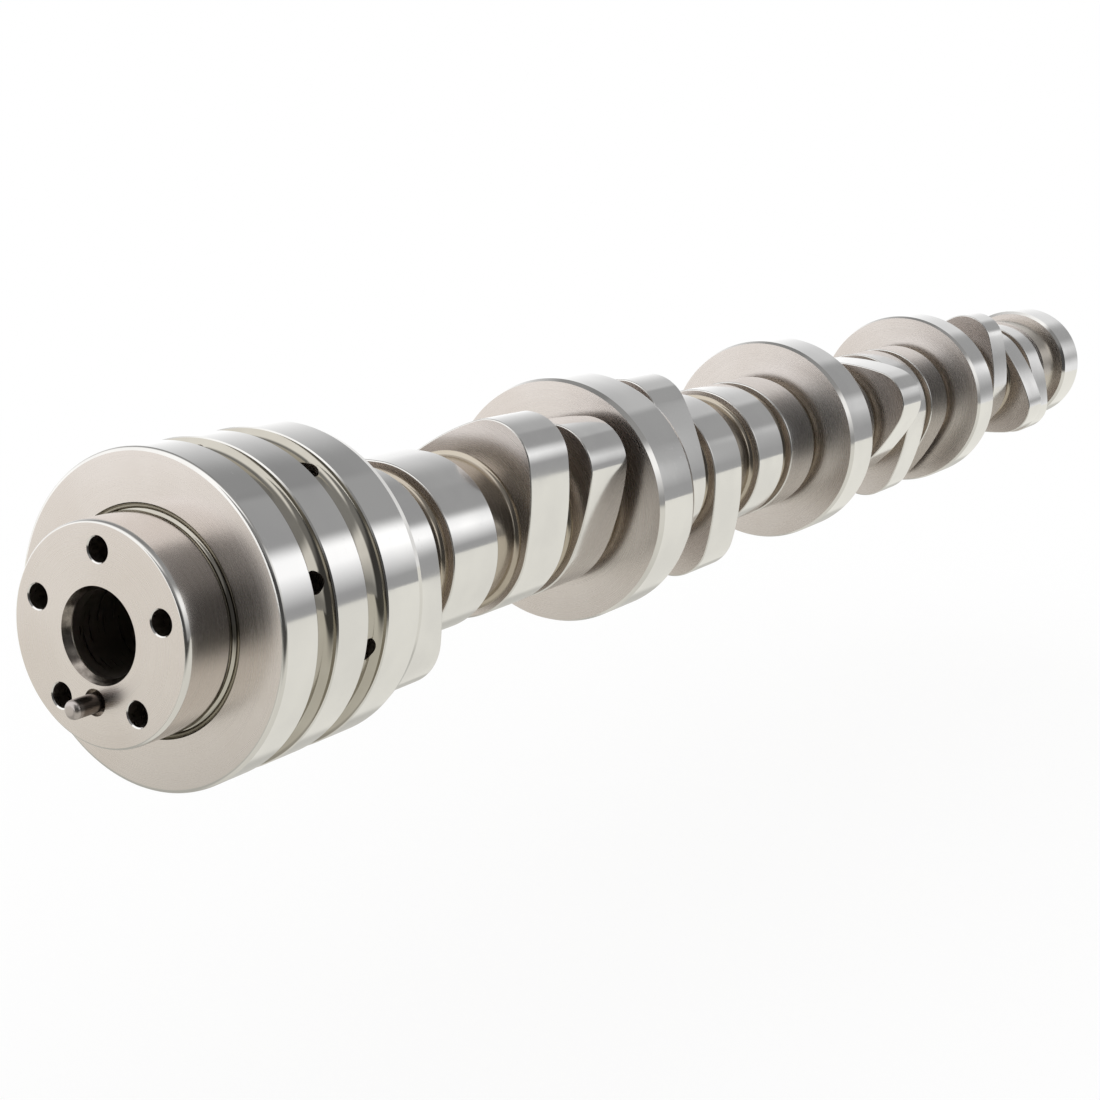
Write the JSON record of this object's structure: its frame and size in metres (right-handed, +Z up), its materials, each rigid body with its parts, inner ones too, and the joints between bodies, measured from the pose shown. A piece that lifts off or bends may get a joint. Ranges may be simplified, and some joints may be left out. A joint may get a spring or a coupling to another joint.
{
  "type": "camshaft",
  "caption": "Machined steel engine camshaft with ground lobes and journals, an oil-grooved front journal and a dowel pin in its drive end.",
  "frame": {"origin": "on the shaft's axis, at the middle of the front journal", "axes": "+Y along the shaft from the drive end to the rear, +Z up, +X to the right as seen from the front"},
  "size_m": [0.0581, 0.5213, 0.0582],
  "materials": {
    "ground_steel": "ground bright on lobes and journals, satin in between",
    "pin_steel": "satin"
  },
  "bodies": {
    "root": {"camshaft": "ground_steel", "dowel_pin": "pin_steel"}
  },
  "joints": []
}
